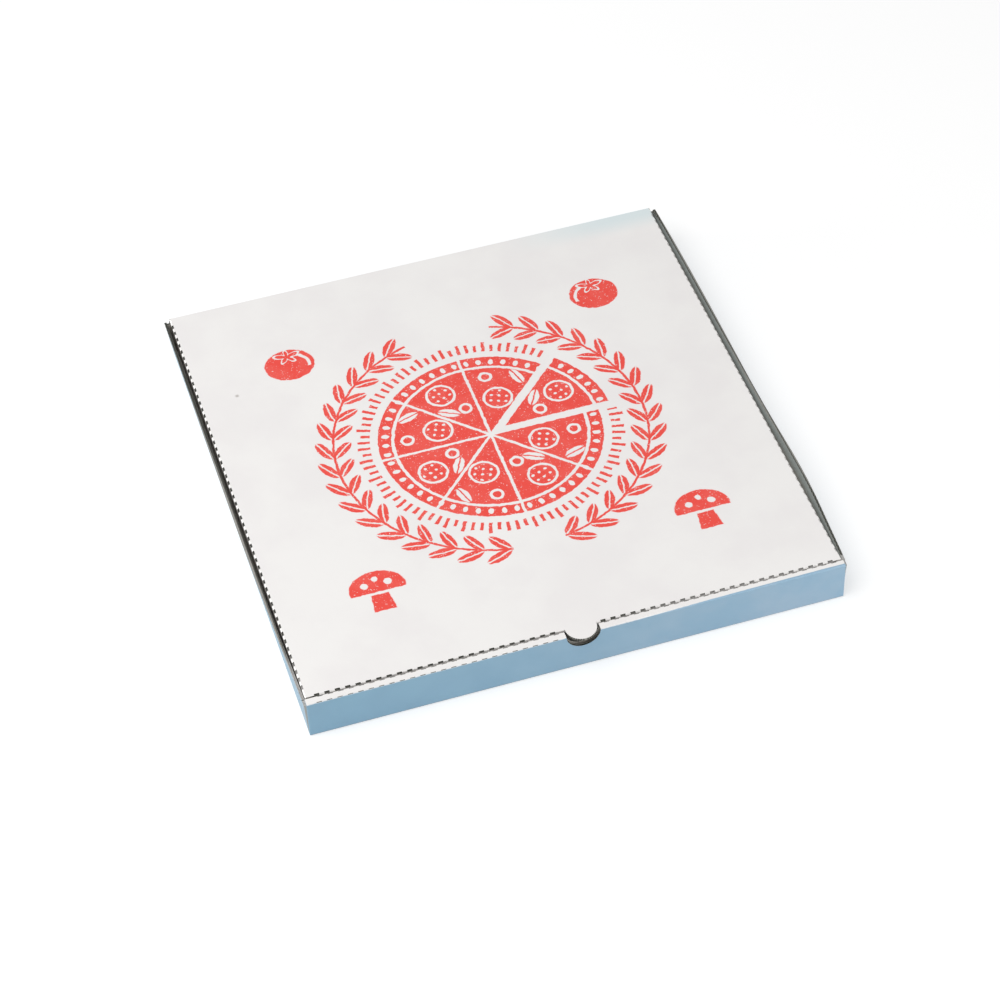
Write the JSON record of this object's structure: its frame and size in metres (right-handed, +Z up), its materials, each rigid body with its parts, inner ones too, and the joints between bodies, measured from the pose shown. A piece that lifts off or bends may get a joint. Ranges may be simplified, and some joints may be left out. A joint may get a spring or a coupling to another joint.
{
  "type": "pizza box",
  "caption": "Flat square carry-out box folded from corrugated board, with a hinged tuck-in lid, a rolled double front wall and a thumb tab over a round notch.",
  "frame": {"origin": "middle of the bottom panel's underside, on the surface that the box rests on", "axes": "+X across the box to the right as seen from the front, +Y from the front wall with the thumb tab to the hinge at the back, +Z up"},
  "size_m": [0.3296, 0.3373, 0.0268],
  "materials": {
    "tray_board": "smooth white liner outside, raw fluted edges",
    "lid_board": "smooth white liner with a one-colour red print on top"
  },
  "bodies": {
    "tray": {"tray": "tray_board"},
    "lid": {"lid": "lid_board"}
  },
  "joints": [
    {"name": "lid_hinge", "type": "hinge", "parent": "tray", "child": "lid", "pos_m": [0, 0.1667, 0.0268], "axis": [-1, 0, 0], "range_deg": [0, 180]}
  ]
}
